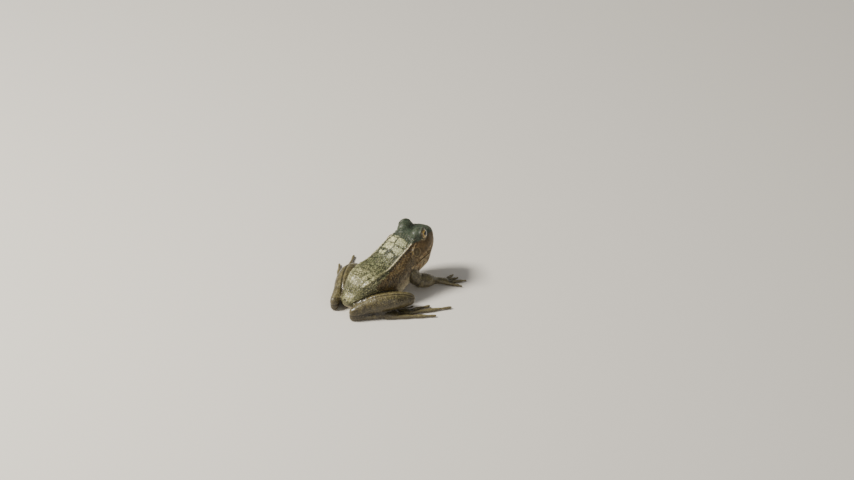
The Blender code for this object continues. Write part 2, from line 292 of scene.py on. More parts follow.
def bounded(mesh):
    """The mesh without the small stray bodies that fusing may leave inside it."""
    ring = Ring(mesh)
    label = np.arange(len(mesh.vertices))
    while True:
        lowest = np.minimum(label, np.minimum.reduceat(label[ring.others], ring.starts))
        lowest = lowest[lowest]
        if np.array_equal(lowest, label):
            break
        label = lowest
    stray = np.nonzero(label != np.bincount(label).argmax())[0]
    bm = bmesh.new()
    bm.from_mesh(mesh)
    bm.verts.ensure_lookup_table()
    bmesh.ops.delete(bm, geom=[bm.verts[i] for i in stray], context="VERTS")
    bm.to_mesh(mesh)
    bm.free()
    return mesh


def refined(mesh, wanted):
    """Splits the faces round the wanted points into four."""
    bm = bmesh.new()
    bm.from_mesh(mesh)
    edges = [edge for edge in bm.edges if all(wanted[vert.index] for vert in edge.verts)]
    bmesh.ops.subdivide_edges(bm, edges=edges, cuts=1, use_grid_fill=True)
    bm.to_mesh(mesh)
    bm.free()


# ---- the skin while it is worked

PATH_STEP = 0.15
PATH_REACH = 3.0  # a line along a path is looked for this many widths away
NODE_SPREAD, NORMAL_SPREAD = 6, 4  # rounds of smoothing


def through(places):
    """Points every PATH_STEP along a smooth curve through some places."""
    places = np.array(places, float)
    lengths = norm(np.diff(places, axis=0), axis=1)
    at = np.concatenate([[0], np.cumsum(lengths)])
    slopes = np.gradient(places, at, axis=0)
    where = np.linspace(0, at[-1], max(2, int(at[-1] / PATH_STEP)))
    i = np.clip(np.searchsorted(at, where, side="right") - 1, 0, len(at) - 2)
    span = (at[i + 1] - at[i])[:, None]
    t = (where - at[i])[:, None] / span
    return (
        (2 * t**3 - 3 * t**2 + 1) * places[i]
        + (t**3 - 2 * t**2 + t) * span * slopes[i]
        + (3 * t**2 - 2 * t**3) * places[i + 1]
        + (t**3 - t**2) * span * slopes[i + 1]
    )


def tree_of(points):
    tree = KDTree(len(points))
    for i, point in enumerate(points):
        tree.insert(point, i)
    tree.balance()
    return tree


def nearest_nodes(at):
    """The index in FLESH of the CAD node nearest to each point."""
    shapes = [cad_polygons(node) for node in FLESH]
    points, triangles, _ = joined(*shapes)
    owners = np.repeat(np.arange(len(FLESH)), [len(own) for _, own, _ in shapes])
    tree = BVHTree.FromPolygons(points.tolist(), triangles.tolist())
    return owners[[tree.find_nearest(Vector(p))[2] for p in at.tolist()]]


class Surface:
    """The skin: its points, normals and neighbours, and ways to find places on it."""

    def __init__(self, mesh):
        self.mesh = mesh
        self.points = points_of(mesh)
        self.ring = Ring(mesh)
        self.refresh()
        polygons = [list(polygon.vertices) for polygon in mesh.polygons]
        self.tree = BVHTree.FromPolygons(self.points.tolist(), polygons)
        self.node = nearest_nodes(self.points)

    def share(self, word, rounds=NODE_SPREAD):
        """1 where the skin covers the CAD nodes whose names hold a word, fading to 0 round them."""
        inside = [index for index, name in enumerate(FLESH) if word in name]
        return self.ring.spread(np.isin(self.node, inside).astype(float), rounds)

    def refresh(self):
        set_points(self.mesh, self.points)
        self.normals = self.ring.spread(read(self.mesh.vertex_normals, "vector"), NORMAL_SPREAD)
        self.normals /= norm(self.normals, axis=1)[:, None]

    def lift(self, height):
        self.points += self.normals * height[:, None]

    def snapped(self, places):
        return np.array([self.tree.find_nearest(Vector(p))[0] for p in places])

    def along(self, places, side, width, fades):
        """A soft line along a path on the skin: 1 on it, 0 a few widths away, faded at its ends."""
        path = self.snapped(through([place(*p, side) for p in places]))
        tree = tree_of(path)
        reach = PATH_REACH * width
        close = (self.points > path.min(0) - reach) & (self.points < path.max(0) + reach)
        distance = np.full(len(self.points), 1e3)
        share = np.zeros(len(self.points))
        for i in np.nonzero(close.all(axis=1))[0]:
            _, index, distance[i] = tree.find(self.points[i])
            share[i] = index / (len(path) - 1)
        ends = ease(0, fades[0], share) * ease(1, 1 - fades[1], share)
        return np.exp(-((distance / width) ** 2)) * ends

    def spot(self, centre, radius):
        """A soft round spot, 1 at its centre."""
        distance = norm(self.points - centre, axis=1)
        return np.exp(-((distance / radius) ** 2))

    def on_skin(self, centre, side=1):
        return self.snapped([place(*centre, side)])[0]


# ---- eyelids

EYE_AIM = (0.36, 0.8, 0.36)  # ahead, out, up
OPENING_WIDE, OPENING_UP, OPENING_DOWN = np.radians((54, 40, 48))
ROUNDNESS = 2.2
UPPER_LID, LOWER_LID = 0.75, 0.40  # how far the lids stand over the ball
LID_EDGE, LID_BLEND = 0.75, 2.6  # widths of a lid's round edge and of the skin that follows it
SOCKET_DEPTH = 0.9
HAW, HAW_WIDTH, HAW_EDGE = 0.1, 0.55, 0.3  # the pale third lid, folded inside the lower one


class Eye:
    """An eye's centre and axes, and the shape of its opening."""

    def __init__(self, side):
        self.side = side
        self.centre = middle(side + "_eye")
        self.aim = unit(np.array([SIDES[side] * EYE_AIM[1], -EYE_AIM[0], EYE_AIM[2]]))
        self.up = upright(self.aim)
        self.ahead = np.cross(self.aim, self.up) * SIDES[side]

    def seen(self, points):
        """Distance from the centre, millimetres outside the opening's rim, and the upward share."""
        arms = points - self.centre
        radius = norm(arms, axis=1)
        arms = arms / np.maximum(radius, 1e-6)[:, None]
        off_axis = np.arccos(np.clip(arms @ self.aim, -1, 1))
        turn = np.arctan2(arms @ self.up, arms @ self.ahead)
        tall = np.where(np.sin(turn) > 0, OPENING_UP, OPENING_DOWN)
        wide_part = np.abs(np.cos(turn) / OPENING_WIDE) ** ROUNDNESS
        tall_part = np.abs(np.sin(turn) / tall) ** ROUNDNESS
        rim = (wide_part + tall_part) ** (-1 / ROUNDNESS)
        return radius, (off_axis - rim) * EYE_RADIUS, np.sin(turn)


def round_edge(outside, width):
    """Rises from 0 to 1 over a width, as a quarter of a circle does."""
    return np.sqrt(1 - (1 - np.clip(outside / width, 0, 1)) ** 2)


def shape_lids(skin, eye):
    """Draws the skin round an eye into two lids. Returns a mask of the lids' rims, where the skin
    is painted dark as shade, and a mask of the haw.
    """
    radius, outside, upward = eye.seen(skin.points)
    near = (radius < EYE_RADIUS + 4) & (outside < LID_BLEND + 1)
    thickness = LOWER_LID + (UPPER_LID - LOWER_LID) * ease(-0.3, 0.6, upward)
    lower = ease(0.0, -0.5, upward)
    socket = EYE_RADIUS - SOCKET_DEPTH
    lid = socket + (SOCKET_DEPTH + thickness) * round_edge(outside + 0.1, LID_EDGE)
    haw = socket + (SOCKET_DEPTH + HAW) * round_edge(outside + HAW_WIDTH, HAW_EDGE) * lower
    wanted = np.maximum(lid, haw)
    follow = ease(LID_BLEND, 0.5, outside)
    follow = follow * ease(EYE_RADIUS + 3.5, EYE_RADIUS + 1.8, radius)
    wanted = np.where(outside > LID_EDGE, np.maximum(wanted, radius - (1 - follow) * 9), wanted)
    new = radius + (wanted - radius) * follow
    arms = (skin.points - eye.centre) / np.maximum(radius, 1e-6)[:, None]
    skin.points = np.where(near[:, None], eye.centre + arms * new[:, None], skin.points)
    # The skin along the rim of the opening, which the material paints dark as shade where lid meets
    # ball.
    close = near * ease(2.0, 0.3, np.abs(outside))
    haw_mask = near * lower * (outside < 0.05) * (outside > -HAW_WIDTH - 0.2)
    return close, haw_mask


# ---- eardrums

DRUM_RADIUS = 2.45
DRUM_SINK, DRUM_HOLLOW, DRUM_KNOB, KNOB_SHARE = 0.22, 0.3, 0.16, 0.2
DRUM_THICKNESS = 0.5
RING_HEIGHT, RING_WIDTH, RING_DROP = 0.34, 0.42, 1.0
DRUM_RINGS, DRUM_SPOKES = 14, 56


class Eardrum:
    """A disc stretched in a ring of skin, round a centre on the skin's base surface."""

    def __init__(self, skin, side):
        self.side = side
        centre, _, _, _ = skin.tree.find_nearest(Vector(middle(side + "_eardrum")))
        self.centre = np.array(centre)
        near = norm(skin.points - self.centre, axis=1) < DRUM_RADIUS
        self.normal = unit(skin.normals[near].mean(0))
        self.up = upright(self.normal)
        self.across = np.cross(self.normal, self.up)

    def make(self, skin):
        """The drum itself: hollow towards a knob in its middle, where a bone is fixed to it."""
        rings = np.zeros((DRUM_RINGS + 1, DRUM_SPOKES, 3))
        for ring, spoke in np.ndindex(rings.shape[:2]):
            share, turn = ring / DRUM_RINGS, math.tau * spoke / DRUM_SPOKES
            arm = math.cos(turn) * self.across + math.sin(turn) * self.up
            start = self.centre + share * DRUM_RADIUS * arm + 4 * self.normal
            hit = skin.tree.ray_cast(Vector(start), Vector(-self.normal))[0]
            depth = DRUM_SINK + DRUM_HOLLOW * (1 - share**2)
            depth -= DRUM_KNOB * math.exp(-((share / KNOB_SHARE) ** 2))
            rings[ring, spoke] = np.array(hit) - depth * self.normal
        rings = (rings - self.centre) * MM
        back = rings[-1] - self.normal * DRUM_THICKNESS * MM
        mesh = shell(self.side + "_drum", rings[0].mean(0), [*rings[1:], back])
        at = Matrix.Translation(self.centre * MM)
        add_piece(mesh, eardrum_material(), [self.side + "_eardrum"], at)


# ---- folds, warts and other relief

JAW_CORNER, JAW_FRONT = (46.0, 20.6), (70.6, 27.8)  # ahead and up of the mouth's line
MOUTH_WAVE, MOUTH_DIP = 0.5, 1.2
# The mouth's crease and its upper and lower lip: height over the mouth's line, width and rise.
MOUTH_CREASE, UPPER_LIP, LOWER_LIP = (0.0, 0.24, -0.62), (0.95, 0.75, 0.34), (-0.75, 0.6, 0.22)

FOLD = ((50.6, 7.6, 35.2), (46, 8.6, 33.3), (36, 8.8, 28.2), (26.6, 8.4, 22.6), (17, 7.6, 20.4),
        (8, 6.2, 17.4), (3, 4.8, 13.8))
EAR_FOLD = ((51.2, 9.4, 32.8), (48.4, 10.4, 32.6), (45.6, 12.0, 30.6), (44.6, 13.0, 27),
            (44, 13.4, 23.5))
MOUTH_CORNER_FOLD = ((47.6, 13.2, 21.2), (44.4, 13.8, 20.0), (41.4, 13.6, 19.0))
CANTHUS = ((60.4, 6.4, 35.6), (63.6, 5.0, 34.9), (67, 3.4, 33.8))
HIP_RIDGE = ((25, 3.0, 25.2), (18, 3.8, 22.8), (10, 3.9, 20.4), (4, 2.9, 16.4))
VENT_FOLDS = ((-1.6, 0.0, 13.2), (-2.0, 1.3, 12.0), (-2.1, 1.5, 10.4), (-1.6, 0.9, 8.6))
LIP_STRIPE = ((66.5, 6.2, 28.2), (61, 9.4, 27.0), (55, 12.0, 25.4), (50.5, 12.9, 24.0),
              (46.6, 13.6, 22.4))

# Raised lines: the path, the line's width, the share that fades at each end, and its height.
RIDGES = (
    (FOLD, 1.0, (0.03, 0.25), 0.75),
    (EAR_FOLD, 0.55, (0.1, 0.3), 0.42),
    (MOUTH_CORNER_FOLD, 0.9, (0.2, 0.3), 0.4),
    (CANTHUS, 1.1, (0.2, 0.3), 0.4),
    (HIP_RIDGE, 1.6, (0.3, 0.3), 0.45),
    (VENT_FOLDS, 0.5, (0.3, 0.3), 0.3),
)
# Lines that have a colour of their own, the fold's partly a painted highlight: the mask, the path,
# the width and the fading ends.
STRIPES = (
    ("fold", FOLD, 0.42, (0.03, 0.25)),
    ("lip", LIP_STRIPE, 0.8, (0.1, 0.05)),
    ("lip", MOUTH_CORNER_FOLD, 0.9, (0.2, 0.3)),
)
# Loose skin that wrinkles: behind the arm, on the flank and in the groin.
WRINKLES = (
    ((43.5, 12.6, 20.5), (41.5, 13.2, 16.5), (41, 12.4, 12.5)),
    ((39.6, 13.4, 20.5), (38, 13.4, 16.5), (37.6, 12.2, 12.5)),
    ((33, 13.0, 20.0), (31, 13.6, 16.5), (30.6, 13, 13.5)),
    ((26, 12.0, 18.5), (23.5, 12.6, 16.0), (22, 12.6, 13.6)),
    ((19, 11.0, 16.5), (16.5, 11.6, 14.6), (14, 11.4, 13.4)),
)
WRINKLE_FADES = (0.3, 0.3)
WRINKLE, WRINKLE_SHOULDER = (0.42, -0.3), (1.1, 0.16)  # width and rise

NOSTRIL, NOSTRIL_SHIFT = (66.4, 3.3, 33.6), (0.15, 0.1, 0)
NOSTRIL_RADIUS, NOSTRIL_DEPTH = 0.42, 0.95
VENT_OPENING, VENT_RADIUS, VENT_DEPTH = (-2.4, 0, 10.6), 0.75, 0.8
# Where the flesh is fuller than the CAD solids, or leaner: the place, its reach and the rise.
BULGES = (
    ((64.0, 7.0, 31.0), 2.2, -0.5),  # the cheek's hollow
    ((20.0, 8.0, 19.5), 6.0, 1.6),  # the hip
    ((12.5, 7.2, 16.8), 5.5, 1.4),  # the root of the thigh
    ((1.5, 3.4, 14.5), 4.5, -0.9),  # the end of the rump
    ((56.0, 8.0, 19.0), 5.5, 1.1),  # the side of the throat
    (NOSTRIL, 1.0, 0.28),
)
WRIST = (62.6, 15.4, 3.2)
FOREARM_FULLNESS, UPPER_ARM_FULLNESS = 1.05, 0.4
ARM_SPREAD = 20
# Creases where two lengths meet, and their depth, which also sets how dark they are painted as
# shade.
FOLD_CREASES = (
    ("thigh", "shank", 0.6), ("shank", "ankle", 0.15), ("thigh", "trunk", 0.6),
    ("upper_arm", "trunk", 0.3),
)
# CREASE_SHADE: how dark a meeting of two lengths is painted as shade, for its depth.
CREASE_SPREAD, CREASE_POWER, CREASE_SHADE = 16, 1.5, 0.55
UNEVENNESS = ((3.2, 1, 0.1), (1.3, 2, 0.05))  # size, seed and rise

# Digits: each one's angle to the middle line, its root's offset outwards and its length.
TOES = ((-22, -2.8, 14.5), (-13, -1.6, 21), (-6, -0.4, 30), (1, 0.9, 42), (11, 2.1, 31))
FINGERS = ((-38, -1.9, 8.4), (-14, -0.8, 8.8), (4, 0.6, 12.4), (32, 1.9, 9.6))
# Feet and hands: the root, the degrees each side's middle line is turned out, and how far each
# swelling reaches.
PAWS = (
    (ANKLE, {"left": 33, "right": 28}, TOES, 1.5),
    ((67.5, 18.0), {"left": 28, "right": 28}, FINGERS, 1.0),
)
DIGIT_HEIGHT = 1.2
# Swellings at a digit's joints and slimmer lengths between: shares of its length, and the rise.
DIGIT_PARTS = (((0.4, 0.7), 0.24), ((0.26, 0.56, 0.86), -0.14))

# Warts and granules: where they lie, how dense, how far apart, their radii, heights, greatest
# stretch along the body, and the seed of their draws.
WARTS = (
    ("top", 0.8, 1.5, (0.3, 0.62), (0.12, 0.34), 3.2, 5),
    ("flank", 0.7, 1.4, (0.25, 0.65), (0.08, 0.28), 1.6, 6),
    ("legs", 0.7, 1.2, (0.22, 0.5), (0.06, 0.2), 1.8, 7),
    ("limb_sides", 0.8, 0.95, (0.2, 0.42), (0.03, 0.1), 1.4, 9),
    ("crown", 0.5, 1.3, (0.25, 0.5), (0.04, 0.14), 1.5, 8),
)
WART_PATCH = 3.5


def digit_relief(skin):
    """Swellings at the joints of the fingers and toes, and slimmer lengths between them."""
    lift = np.zeros(len(skin.points))
    for side, sign in SIDES.items():
        for root, spreads, digits, size in PAWS:
            line = math.radians(spreads[side])
            for angle, offset, length in digits:
                turn = math.radians(spreads[side] + angle)
                start = (root[0] - offset * math.sin(line), root[1] + offset * math.cos(line))
                heading = np.array([math.cos(turn), math.sin(turn)])
                for shares, rise in DIGIT_PARTS:
                    for share in shares:
                        ahead, out = start + heading * length * share
                        lift += rise * skin.spot(place(ahead, out, DIGIT_HEIGHT, sign), size)
    return lift


def waves(skin, size, seed):
    """Smooth noise over the skin, about -1 to 1."""
    shift = Vector((seed * 7.3, seed * 3.1, seed * 5.7))
    return np.array([noise.noise(Vector(p) / size + shift) for p in skin.points.tolist()])


def mouth_height(points):
    """Height over the mouth's line, which dips a little before the corner."""
    ahead, _, up = plan(points)
    slope = (JAW_FRONT[1] - JAW_CORNER[1]) / (JAW_FRONT[0] - JAW_CORNER[0])
    line = JAW_CORNER[1] + slope * (ahead - JAW_CORNER[0])
    wave = MOUTH_WAVE * np.sin((ahead - 47) * 0.29)
    return up - (line + wave - MOUTH_DIP * ease(50, 46.5, ahead))


def scattered(skin, weight, spacing, draw):
    """Indices of points strewn at least `spacing` apart, thinned where the weight is low."""
    order = draw.permutation(np.nonzero(weight > 0.02)[0])
    keep = order[draw.random(len(order)) < weight[order]]
    steps = list(itertools.product((-1, 0, 1), repeat=3))
    cells = {}
    chosen = []
    for i in keep:
        p = skin.points[i]
        key = tuple((p // spacing).astype(int))
        around = [(key[0] + a, key[1] + b, key[2] + c) for a, b, c in steps]
        if all(norm(p - q) > spacing for k in around for q in cells.get(k, ())):
            cells.setdefault(key, []).append(p)
            chosen.append(i)
    return chosen


def warts(skin, weight, spacing, radii, heights, stretches, seed):
    """Rounded warts, or short ridges along the body where the stretch is over 1."""
    draw = np.random.default_rng(seed)
    patchy = 0.35 + 0.65 * ease(-0.25, 0.25, waves(skin, WART_PATCH, seed))
    chosen = scattered(skin, weight * patchy, spacing, draw)
    tree = tree_of(skin.points)
    lift = np.zeros(len(skin.points))
    for i in chosen:
        size = draw.uniform(*radii)
        stretch = draw.uniform(1, stretches)
        tall = draw.uniform(*heights)
        found = tree.find_range(skin.points[i], size * stretch)
        found = np.array([index for _, index, _ in found])
        arms = skin.points[found] - skin.points[i]
        normal = skin.normals[i]
        heading = np.array([draw.uniform(-0.25, 0.25), -1, 0.2])
        heading = unit(heading - heading @ normal * normal)
        long_way = arms @ heading
        rest = norm(arms - long_way[:, None] * heading, axis=1)
        off = (long_way / (size * stretch)) ** 2 + (rest / size) ** 2
        lift[found] = np.maximum(lift[found], tall * np.clip(1 - off, 0, 1) ** 1.5)
    return lift


def relief(skin, drums):
    """All the skin's relief but its warts, masks of the features that have their own colour, and a
    mask of the creases and holes painted dark as shade.
    """
    points = skin.points
    ahead, out, _ = plan(points)
    lift = np.zeros(len(points))

    # Mouth: a crease between two full lips.
    height = mouth_height(points)
    front = ease(46.2, 48.2, ahead) * (np.abs(skin.normals[:, 2]) < 0.93)
    for middle_height, width, rise in (UPPER_LIP, LOWER_LIP, MOUTH_CREASE):
        line = np.exp(-(((height - middle_height) / width) ** 2)) * front
        lift += rise * line
    # The mouth's line starts the mask of creases and holes that the material paints dark as shade.
    masks = {"crease_shade": line, "lip": np.zeros(len(points)), "fold": np.zeros(len(points))}

    # Creases, wrinkles, nostrils and the vent are painted dark as shade through this mask.
    def add_crease_shade(mask):
        masks["crease_shade"] = np.maximum(masks["crease_shade"], mask)

    for side in SIDES.values():
        for name, path, width, fades in STRIPES:
            masks[name] += skin.along(path, side, width, fades)
        for path, width, fades, rise in RIDGES:
            lift += rise * skin.along(path, side, width, fades)
        for centre, radius, rise in BULGES:
            lift += rise * skin.spot(skin.on_skin(centre, side), radius)
        for wrinkle in WRINKLES:
            for width, rise in (WRINKLE_SHOULDER, WRINKLE):
                line = skin.along(wrinkle, side, width, WRINKLE_FADES)
                lift += rise * line
            add_crease_shade(0.3 * line)
        shift = np.array(NOSTRIL_SHIFT) * (side, 1, 1)
        hole = skin.spot(skin.on_skin(NOSTRIL, side) + shift, NOSTRIL_RADIUS)
        lift -= NOSTRIL_DEPTH * hole
        add_crease_shade(hole)
        from_wrist = norm(points - place(*WRIST, side), axis=1)
        forearm = skin.share("forearm", ARM_SPREAD) * (out * side > 0)
        lift += FOREARM_FULLNESS * forearm * ease(1, 9, from_wrist)
    lift += UPPER_ARM_FULLNESS * skin.share("upper_arm", ARM_SPREAD)
    for first, second, depth in FOLD_CREASES:
        meeting = skin.share(first, CREASE_SPREAD) * skin.share(second, CREASE_SPREAD) * 4
        lift -= depth * meeting**CREASE_POWER
        add_crease_shade(CREASE_SHADE * depth * meeting**3)
    opening = skin.spot(skin.on_skin(VENT_OPENING), VENT_RADIUS)
    lift -= VENT_DEPTH * opening
    add_crease_shade(0.9 * opening)
    lift += digit_relief(skin)
    for size, seed, rise in UNEVENNESS:
        lift += rise * waves(skin, size, seed)

    # Ears: a ring of skin round each drum, and a drop inside it that the drum covers.
    for drum in drums:
        arms = points - drum.centre
        off_plane = arms @ drum.normal
        radius = norm(arms - off_plane[:, None] * drum.normal, axis=1)
        radius = np.where(np.abs(off_plane) < 3, radius, 99)
        lift += RING_HEIGHT * np.exp(-(((radius - DRUM_RADIUS - 0.2) / RING_WIDTH) ** 2))
        lift -= RING_DROP * ease(DRUM_RADIUS, DRUM_RADIUS - 0.5, radius)

    skin.lift(lift)
    skin.refresh()
    return masks


def wart_relief(skin, masks, drums):
    """Warts on the back, flanks and crown, and granules on the limbs."""
    facing = skin.normals[:, 2]
    body, back_or_limb, behind_head = 1 - masks["limb"], 1 - masks["side"], 1 - masks["head"]
    where = {
        "top": body * back_or_limb * behind_head * ease(0.1, 0.4, facing),
        "flank": masks["side"] * behind_head * (1 - masks["under"]),
        "legs": masks["limb"] * (1 - masks["digit"]) * ease(0.1, 0.5, facing),
        "limb_sides": masks["limb"] * (1 - 0.6 * masks["digit"]) * ease(-0.5, 0.0, facing),
        "crown": masks["head"] * back_or_limb * (1 - np.clip(masks["lid"], 0, 1)),
    }
    for drum in drums:
        distance = norm(skin.points - drum.centre, axis=1)
        where["flank"] *= ease(DRUM_RADIUS + 0.9, DRUM_RADIUS + 1.6, distance)
    return sum(warts(skin, share * where[name], *rest) for name, share, *rest in WARTS)


# ---- masks for the markings, and for painted light and shade

# The height of the line between back and sides, along the body: ahead and up.
TOP_LINE = ((-3, 10), (3, 13.6), (8, 17.2), (17, 20.2), (26.6, 22.4), (36, 28), (46, 33),
            (52, 33.6), (60, 34.2), (66, 33.4), (71, 31))
TOP_LINE_SOFTNESS = ((12, 3.2), (26, 0.5), (49, 0.5), (56, 1.8))  # ahead, and the line's width
BELLY_RISE = 0.36  # how much further up the pale belly reaches at mid body
MOUTH_REACH = 2.2
BAR_SPACING = 7.5
FACING_ROUNDS, BEND_ROUNDS = 12, 10
BEND_SHOWN = 0.06  # a point this far from its neighbours' mean is a full pit or tip


def mark_regions(skin, masks):
    """Adds masks of the regions that differ in colour. Their limits are ahead of the vent."""
    ahead, out, up = plan(skin.points)
    facing = skin.ring.spread(skin.normals[:, 2], FACING_ROUNDS)
    over_mouth = mouth_height(skin.points)
    over_line = up - np.interp(ahead, *zip(*TOP_LINE))
    soft = np.interp(ahead, *zip(*TOP_LINE_SOFTNESS))

    def share(*words):
        return sum(skin.share(word) for word in words)

    def ramp(start, full):
        return ease(start, full, ahead)

    limb = share("arm", "hand", "thigh", "shank", "ankle", "foot")
    body = 1 - limb
    leg = share("thigh", "shank")
    barred = share("thigh", "shank", "forearm", "foot", "ankle")
    belly = BELLY_RISE * ramp(24, 30) * ramp(43, 38) * body
    side = body * ease(0.5 * soft, -soft, over_line) * ramp(9, 20)
    nape = ramp(26, 41.5) * ramp(50, 46.5) * (1 - side)
    jaw = body * ramp(44, 48) * ease(0.1, -0.1, over_mouth)
    shank = unit(np.array(KNEE) - HEEL)
    along = (ahead - HEEL[0]) * shank[0] + (np.abs(out) - HEEL[1]) * shank[1]
    masks.update(
        limb=limb,
        digit=share("hand", "foot"),
        under=ease(-0.2 - 0.35 * limb + belly, -0.6 - 0.3 * limb + belly, facing),
        # The limbs' upward faces: the material keeps them lighter, as lit, and paints their other
        # faces darker, as shade.
        upward=ease(0.38 * leg, 0.75 + 0.22 * leg, facing),
        # Painted shadow on the ankle and the rear of the foot, which lie under the shank.
        heel=share("ankle") + share("foot") * ramp(28, 16),
        side=side,
        nape=nape * ease(8.6, 7.4, np.abs(out)),
        seat=ramp(5, -0.5) * body,
        saddle=ramp(14, 23) * ramp(46, 38),
        # Where the fold's line is painted pale: partly the fold's own colour, partly a painted
        # highlight.
        fold_pale=ramp(22, 29) * ramp(47.8, 46.2),
        crown=ramp(45.2, 47.2) * body,
        head=ramp(45, 51) * body,
        rump=ramp(14, 3) * body * ease(0.45, 0.85, facing),
        hips=ramp(18, 10) * body * ease(0.8, 0.35, facing),
        jaw=jaw,
        chin=jaw * ease(-0.75, -0.35, facing),
        mouth=body * ramp(45, 48) * np.exp(-((over_mouth / MOUTH_REACH) ** 2)),
        bars=along / BAR_SPACING,
        barred=barred * ease(-0.4, 0.1, facing),
    )


def mark_bends(skin, masks):
    """Adds masks of pits, which are painted dark as shade, and of raised tips, which are painted
    light as highlights.
    """
    arms = skin.ring.spread(skin.points, BEND_ROUNDS) - skin.points
    bend = (arms * skin.normals).sum(1) / BEND_SHOWN
    masks["cavity_shade"] = np.clip(bend, 0, 1)
    masks["tip"] = np.clip(-bend, 0, 1)


# ---- materials


class Paint:
    """A material written as formulas over sockets, numbers and colours."""

    def __init__(self, name):
        self.material = bpy.data.materials.new(name)
        self.material.use_nodes = True
        self.tree = self.material.node_tree
        self.shader = self.tree.nodes["Principled BSDF"]
        self.where = self.node("TexCoord").outputs["Object"]

    def node(self, kind, inputs=None, **settings):
        node = self.tree.nodes.new("ShaderNode" + kind)
        for name, value in settings.items():
            setattr(node, name, value)
        for key, value in (inputs or {}).items():
            self.plug(node.inputs[key], value)
        return node

    def plug(self, socket, value):
        if isinstance(value, bpy.types.NodeSocket):
            self.tree.links.new(value, socket)
        elif socket.type == "RGBA":
            socket.default_value = (*value, 1)
        else:
            socket.default_value = value

    def set(self, **values):
        for name, value in values.items():
            self.plug(self.shader.inputs[name.replace("_", " ")], value)

    def calc(self, operation, *values):
        return self.node("Math", dict(enumerate(values)), operation=operation).outputs[0]

    def add(self, first, second):
        return self.calc("ADD", first, second)

    def times(self, *values):
        result = values[0]
        for value in values[1:]:
            result = self.calc("MULTIPLY", result, value)
        return result

    def vector(self, operation, inputs, output=0):
        return self.node("VectorMath", inputs, operation=operation).outputs[output]

    def mix(self, share, first, second):
        inputs = {0: share, 6: first, 7: second}
        return self.node("Mix", inputs, data_type="RGBA").outputs[2]

    def over(self, colour, *layers):
        """A colour with layers painted over it in turn, each given as its share and colour."""
        for share, layer in layers:
            colour = self.mix(share, colour, layer)
        return colour

    def band(self, value, low, high, start=0.0, end=1.0):
        """Goes smoothly from `start` to `end` as the value goes from `low` to `high`."""
        inputs = dict(enumerate((value, low, high, start, end)))
        return self.node("MapRange", inputs, interpolation_type="SMOOTHSTEP").outputs[0]

    def texture(self, kind, size, vector, inputs, output, **settings):
        inputs = {"Vector": vector or self.where, "Scale": 1 / (size * MM), **inputs}
        return self.node(kind, inputs, **settings).outputs[output]

    def vary(self, value, low, high, first, second):
        return self.mix(self.band(value, low, high), first, second)

    def noise(self, size, detail=2.0, roughness=0.5, vector=None, output=0):
        inputs = {"Detail": detail, "Roughness": roughness}
        return self.texture("TexNoise", size, vector, inputs, output)

    def cells(self, size, vector=None, randomness=1.0, **settings):
        inputs = {"Randomness": randomness}
        return self.texture("TexVoronoi", size, vector, inputs, "Distance", **settings)

    def warped(self, size, reach):
        """The place, shifted by up to `reach` millimetres in patches of a size."""
        shift = self.noise(size, 3.0, output=1)
        shift = self.vector("SUBTRACT", {0: shift, 1: (0.5, 0.5, 0.5)})
        shift = self.vector("SCALE", {0: shift, "Scale": 2 * reach * MM})
        return self.vector("ADD", {0: self.where, 1: shift})

    def mask(self, name, strength=1):
        mask = self.node("Attribute", attribute_name=name).outputs["Fac"]
        return mask if strength == 1 else self.times(mask, strength)

    def bump(self, height, distance, strength=1.0, under=None):
        inputs = {"Height": height, "Distance": distance * MM, "Strength": strength}
        if under:
            inputs["Normal"] = under
        return self.node("Bump", inputs).outputs[0]


# The pale plates over the nape: two columns of them, with the midline between. A cell's middle lies
# PLATE_LEAD of a cell past a whole number, and its edge half a cell further.
PLATE_LENGTH, PLATE_WIDTH = 5.3, 7.4
PLATE_RANDOM = 0.38
PLATE_LEAD = PLATE_RANDOM / 2
FIRST_PLATE = 43.5  # ahead of the vent
PLATE_STRETCH = (PLATE_LENGTH / PLATE_WIDTH, 1, 1)
PLATE_SHIFT = (
    (PLATE_LENGTH * (PLATE_LEAD + 0.5) - MIDLINE * PLATE_LENGTH / PLATE_WIDTH) * MM,
    (PLATE_LENGTH * PLATE_LEAD - (VENT - FIRST_PLATE)) * MM,
    0,
)


def nape_colour(p):
    """Squarish pale plates on dark skin, dimmer on the right."""
    squares = p.vector("MULTIPLY_ADD", {0: p.warped(2.2, 1.5), 1: PLATE_STRETCH, 2: PLATE_SHIFT})
    inside = p.cells(PLATE_LENGTH, squares, PLATE_RANDOM, feature="DISTANCE_TO_EDGE",
                     voronoi_dimensions="2D")
    inside = p.add(inside, p.band(p.noise(0.8, 4.0, 0.7, p.ragged), 0.3, 0.7, -0.09, 0.09))
    inside = p.calc("SUBTRACT", inside, p.band(p.mask("nape"), 1.0, 0.0, 0.0, 0.35))
    plate = p.over(
        p.vary(p.mottle, 0.35, 0.7, (0.34, 0.35, 0.18), (0.8, 0.78, 0.46)),
        (p.band(p.spots, 0.55, 0.62, 0, 0.8), (0.06, 0.066, 0.03)),
    )
    across = p.node("SeparateXYZ", {0: p.ragged}).outputs[0]
    right = p.band(across, (MIDLINE + 1) * MM, (MIDLINE - 1) * MM, 0.0, 0.68)
    dim = p.vary(p.speckle, 0.4, 0.62, (0.09, 0.105, 0.05), (0.36, 0.37, 0.21))
    plate = p.mix(p.add(right, p.band(p.patches, 0.4, 0.65, 0, 0.25)), plate, dim)
    between = p.vary(p.speckle, 0.52, 0.68, (0.018, 0.026, 0.012), (0.08, 0.095, 0.045))
    return p.vary(inside, 0.04, 0.12, between, plate)


